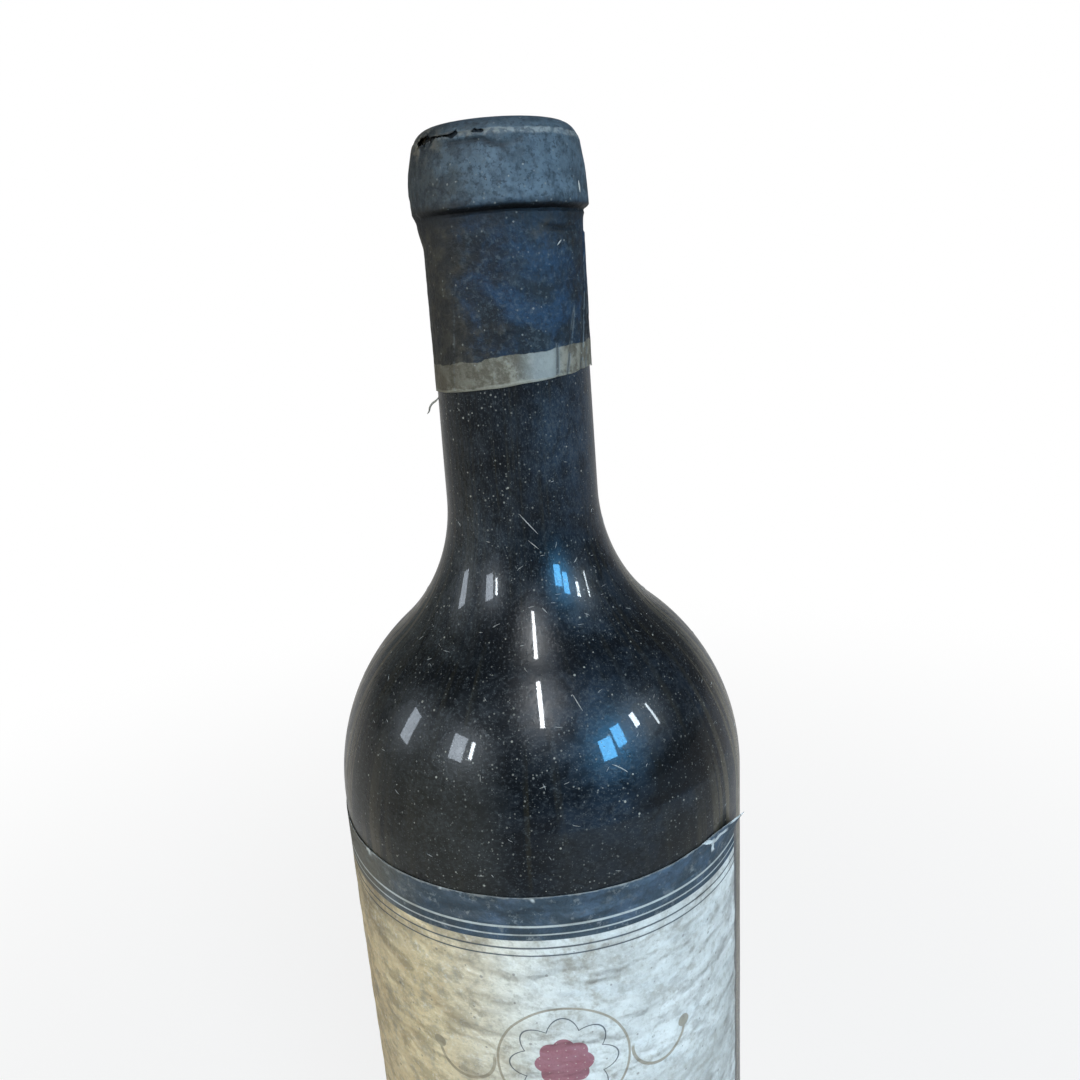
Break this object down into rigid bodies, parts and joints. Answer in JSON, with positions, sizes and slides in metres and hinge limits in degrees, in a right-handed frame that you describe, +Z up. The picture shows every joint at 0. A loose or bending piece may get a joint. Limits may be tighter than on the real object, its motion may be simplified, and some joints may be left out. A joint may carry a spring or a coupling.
{
  "type": "wine bottle",
  "caption": "Old corked wine bottle of dark glass with high shoulders, a foil capsule over its neck and a paper label round its wall.",
  "frame": {"origin": "middle of the foot, on the surface that the bottle stands on", "axes": "+Z up along the bottle's axis, the label's front towards -Y, +X to the right of somebody who faces it"},
  "size_m": [0.0764, 0.0764, 0.3004],
  "materials": {
    "dark_glass": "glossy, dusty",
    "capsule_foil": "matt, dusty",
    "label_paper": "matt, stained"
  },
  "bodies": {
    "root": {"bottle": "dark_glass", "capsule_skirt": "capsule_foil", "capsule_disc": "capsule_foil", "label": "label_paper"}
  },
  "joints": []
}
